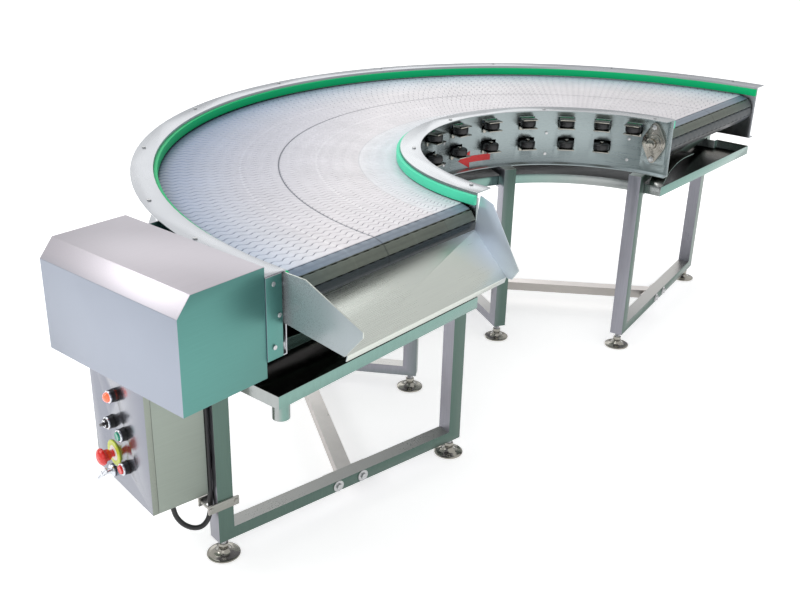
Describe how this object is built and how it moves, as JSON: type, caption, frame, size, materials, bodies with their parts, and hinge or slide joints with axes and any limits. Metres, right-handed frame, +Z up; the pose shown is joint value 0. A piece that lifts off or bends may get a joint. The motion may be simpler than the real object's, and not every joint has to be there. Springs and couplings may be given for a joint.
{
  "type": "belt conveyor",
  "caption": "U-shaped half-turn belt conveyor with stainless side channels, guarded end drive, control box, discharge chute, drip trays and tube legs on levelling feet.",
  "frame": {"origin": "on the floor, under the middle of the whole footprint's bounding box", "axes": "+X from the drive guard's end to the infeed end, along the longest side; +Y from the open side of the turn to its round back; +Z up"},
  "size_m": [2.5876, 1.4102, 0.791],
  "materials": {
    "stainless": "brushed stainless sheet and tube",
    "guide_green": "smooth green sliding plastic",
    "belt_plastic": "light grey moulded belt plastic",
    "rail_plastic": "white sliding plastic",
    "motor_paint": "grey machine paint",
    "black_plastic": "black moulded plastic",
    "foot_steel": "polished stainless",
    "cable_rubber": "black cable sheath",
    "red_plastic": "red plastic",
    "green_plastic": "green plastic",
    "bezel_chrome": "bright plated metal",
    "bearing_steel": "stainless bearing housing"
  },
  "bodies": {
    "conveyor": {"outer_side_frame": "stainless", "inner_side_frame": "stainless", "outer_guide_strip": "guide_green", "inner_guide_strip": "guide_green", "modular_belt": "belt_plastic", "wear_rails": "rail_plastic", "cross_members": "stainless", "flange_bearings": "bearing_steel", "gearmotor": "motor_paint", "gearmotor_mount": "stainless", "drive_guard": "stainless", "guard_plate": "stainless", "discharge_chute": "stainless", "drain_tray": "stainless", "drip_tray": "stainless", "splash_sheet": "stainless", "support_frame_1": "stainless", "support_frame_2": "stainless", "support_frame_3": "stainless", "support_frame_4": "stainless", "stretchers": "stainless", "control_box": "stainless", "box_mount": "stainless", "motor_cable": "cable_rubber", "roller_brackets": "stainless", "direction_arrow": "red_plastic", "fasteners": "foot_steel"},
    "drive": {"drive_shaft": "foot_steel", "drive_sprockets": "black_plastic"},
    "tail": {"tail_shaft": "foot_steel", "tail_sprockets": "black_plastic"},
    "door": {"control_door": "stainless", "panel_bezels": "bezel_chrome", "signal_lamp": "red_plastic"},
    "latch": {"door_lock": "bezel_chrome"},
    "selector": {"selector_switch": "black_plastic"},
    "start_push": {"green_button": "green_plastic"},
    "stop_push": {"red_button": "red_plastic"},
    "emergency_push": {"estop_button": "red_plastic"},
    "foot_1_inner_body": {"foot_1_inner": "foot_steel"},
    "foot_1_outer_body": {"foot_1_outer": "foot_steel"},
    "foot_2_inner_body": {"foot_2_inner": "foot_steel"},
    "foot_2_outer_body": {"foot_2_outer": "foot_steel"},
    "foot_3_inner_body": {"foot_3_inner": "foot_steel"},
    "foot_3_outer_body": {"foot_3_outer": "foot_steel"},
    "foot_4_inner_body": {"foot_4_inner": "foot_steel"},
    "foot_4_outer_body": {"foot_4_outer": "foot_steel"},
    "up_wheel_1": {"roller_up_1": "black_plastic"},
    "up_wheel_2": {"roller_up_2": "black_plastic"},
    "up_wheel_3": {"roller_up_3": "black_plastic"},
    "up_wheel_4": {"roller_up_4": "black_plastic"},
    "up_wheel_5": {"roller_up_5": "black_plastic"},
    "up_wheel_6": {"roller_up_6": "black_plastic"},
    "up_wheel_7": {"roller_up_7": "black_plastic"},
    "low_wheel_1": {"roller_low_1": "black_plastic"},
    "low_wheel_2": {"roller_low_2": "black_plastic"},
    "low_wheel_3": {"roller_low_3": "black_plastic"},
    "low_wheel_4": {"roller_low_4": "black_plastic"},
    "low_wheel_5": {"roller_low_5": "black_plastic"},
    "low_wheel_6": {"roller_low_6": "black_plastic"}
  },
  "joints": [
    {"name": "drive_spin", "type": "hinge", "parent": "conveyor", "child": "drive", "pos_m": [-0.69684, -0.44679, 0.68955], "axis": [1, 0, 0], "continuous": true},
    {"name": "tail_spin", "type": "hinge", "parent": "conveyor", "child": "tail", "pos_m": [0.90316, -0.44679, 0.68955], "axis": [-1, 0, 0], "continuous": true},
    {"name": "up_wheel_1_spin", "type": "hinge", "parent": "conveyor", "child": "up_wheel_1", "pos_m": [0.05706, -0.00601, 0.7243], "axis": [0, 0, 1], "continuous": true},
    {"name": "up_wheel_2_spin", "type": "hinge", "parent": "conveyor", "child": "up_wheel_2", "pos_m": [0.17841, -0.00972, 0.7243], "axis": [0, 0, 1], "continuous": true},
    {"name": "up_wheel_3_spin", "type": "hinge", "parent": "conveyor", "child": "up_wheel_3", "pos_m": [0.29496, -0.04369, 0.7243], "axis": [0, 0, 1], "continuous": true},
    {"name": "up_wheel_4_spin", "type": "hinge", "parent": "conveyor", "child": "up_wheel_4", "pos_m": [0.40127, -0.10732, 0.7243], "axis": [0, 0, 1], "continuous": true},
    {"name": "up_wheel_5_spin", "type": "hinge", "parent": "conveyor", "child": "up_wheel_5", "pos_m": [0.4873, -0.19532, 0.7243], "axis": [0, 0, 1], "continuous": true},
    {"name": "up_wheel_6_spin", "type": "hinge", "parent": "conveyor", "child": "up_wheel_6", "pos_m": [0.54258, -0.28915, 0.7243], "axis": [0, 0, 1], "continuous": true},
    {"name": "up_wheel_7_spin", "type": "hinge", "parent": "conveyor", "child": "up_wheel_7", "pos_m": [0.57276, -0.38069, 0.7243], "axis": [0, 0, 1], "continuous": true},
    {"name": "low_wheel_1_spin", "type": "hinge", "parent": "conveyor", "child": "low_wheel_1", "pos_m": [0.06124, -0.00562, 0.65734], "axis": [0, 0, 1], "continuous": true},
    {"name": "low_wheel_2_spin", "type": "hinge", "parent": "conveyor", "child": "low_wheel_2", "pos_m": [0.17841, -0.00972, 0.65734], "axis": [0, 0, 1], "continuous": true},
    {"name": "low_wheel_3_spin", "type": "hinge", "parent": "conveyor", "child": "low_wheel_3", "pos_m": [0.29573, -0.04402, 0.65734], "axis": [0, 0, 1], "continuous": true},
    {"name": "low_wheel_4_spin", "type": "hinge", "parent": "conveyor", "child": "low_wheel_4", "pos_m": [0.40325, -0.10888, 0.65734], "axis": [0, 0, 1], "continuous": true},
    {"name": "low_wheel_5_spin", "type": "hinge", "parent": "conveyor", "child": "low_wheel_5", "pos_m": [0.48931, -0.19801, 0.65734], "axis": [0, 0, 1], "continuous": true},
    {"name": "low_wheel_6_spin", "type": "hinge", "parent": "conveyor", "child": "low_wheel_6", "pos_m": [0.54427, -0.293, 0.65734], "axis": [0, 0, 1], "continuous": true},
    {"name": "door_hinge", "type": "hinge", "parent": "conveyor", "child": "door", "pos_m": [-1.15045, -0.00431, 0.355], "axis": [0, 0, -1], "range_deg": [0, 110]},
    {"name": "latch_turn", "type": "hinge", "parent": "door", "child": "latch", "pos_m": [-1.17863, -0.08006, 0.206], "axis": [-0.9848, 0.1736, 0], "range_deg": [-90, 0]},
    {"name": "selector_turn", "type": "hinge", "parent": "door", "child": "selector", "pos_m": [-1.18176, -0.09779, 0.341], "axis": [-0.9848, 0.1736, 0], "range_deg": [-60, 0]},
    {"name": "start_press", "type": "slide", "parent": "door", "child": "start_push", "axis": [0.9848, -0.1736, 0], "range_m": [0, 0.004], "stiffness_N_per_m": 600},
    {"name": "stop_press", "type": "slide", "parent": "door", "child": "stop_push", "axis": [0.9848, -0.1736, 0], "range_m": [0, 0.004], "stiffness_N_per_m": 600},
    {"name": "emergency_press", "type": "slide", "parent": "door", "child": "emergency_push", "axis": [0.9848, -0.1736, 0], "range_m": [0, 0.004]},
    {"name": "foot_1_inner_screw", "type": "slide", "parent": "conveyor", "child": "foot_1_inner_body", "axis": [0, 0, 1], "range_m": [-0.015, 0.015]},
    {"name": "foot_1_outer_screw", "type": "slide", "parent": "conveyor", "child": "foot_1_outer_body", "axis": [0, 0, 1], "range_m": [-0.015, 0.015]},
    {"name": "foot_2_inner_screw", "type": "slide", "parent": "conveyor", "child": "foot_2_inner_body", "axis": [0, 0, 1], "range_m": [-0.015, 0.015]},
    {"name": "foot_2_outer_screw", "type": "slide", "parent": "conveyor", "child": "foot_2_outer_body", "axis": [0, 0, 1], "range_m": [-0.015, 0.015]},
    {"name": "foot_3_inner_screw", "type": "slide", "parent": "conveyor", "child": "foot_3_inner_body", "axis": [0, 0, 1], "range_m": [-0.015, 0.015]},
    {"name": "foot_3_outer_screw", "type": "slide", "parent": "conveyor", "child": "foot_3_outer_body", "axis": [0, 0, 1], "range_m": [-0.015, 0.015]},
    {"name": "foot_4_inner_screw", "type": "slide", "parent": "conveyor", "child": "foot_4_inner_body", "axis": [0, 0, 1], "range_m": [-0.015, 0.015]},
    {"name": "foot_4_outer_screw", "type": "slide", "parent": "conveyor", "child": "foot_4_outer_body", "axis": [0, 0, 1], "range_m": [-0.015, 0.015]}
  ],
  "couplings": [
    {"joint": "tail_spin", "follows": "drive_spin", "ratio": 1},
    {"joint": "up_wheel_1_spin", "follows": "drive_spin", "ratio": 0.7675},
    {"joint": "up_wheel_2_spin", "follows": "drive_spin", "ratio": 0.7675},
    {"joint": "up_wheel_3_spin", "follows": "drive_spin", "ratio": 0.7675},
    {"joint": "up_wheel_4_spin", "follows": "drive_spin", "ratio": 0.7675},
    {"joint": "up_wheel_5_spin", "follows": "drive_spin", "ratio": 0.7675},
    {"joint": "up_wheel_6_spin", "follows": "drive_spin", "ratio": 0.7675},
    {"joint": "up_wheel_7_spin", "follows": "drive_spin", "ratio": 0.7675},
    {"joint": "low_wheel_1_spin", "follows": "drive_spin", "ratio": -0.7675},
    {"joint": "low_wheel_2_spin", "follows": "drive_spin", "ratio": -0.7675},
    {"joint": "low_wheel_3_spin", "follows": "drive_spin", "ratio": -0.7675},
    {"joint": "low_wheel_4_spin", "follows": "drive_spin", "ratio": -0.7675},
    {"joint": "low_wheel_5_spin", "follows": "drive_spin", "ratio": -0.7675},
    {"joint": "low_wheel_6_spin", "follows": "drive_spin", "ratio": -0.7675}
  ]
}
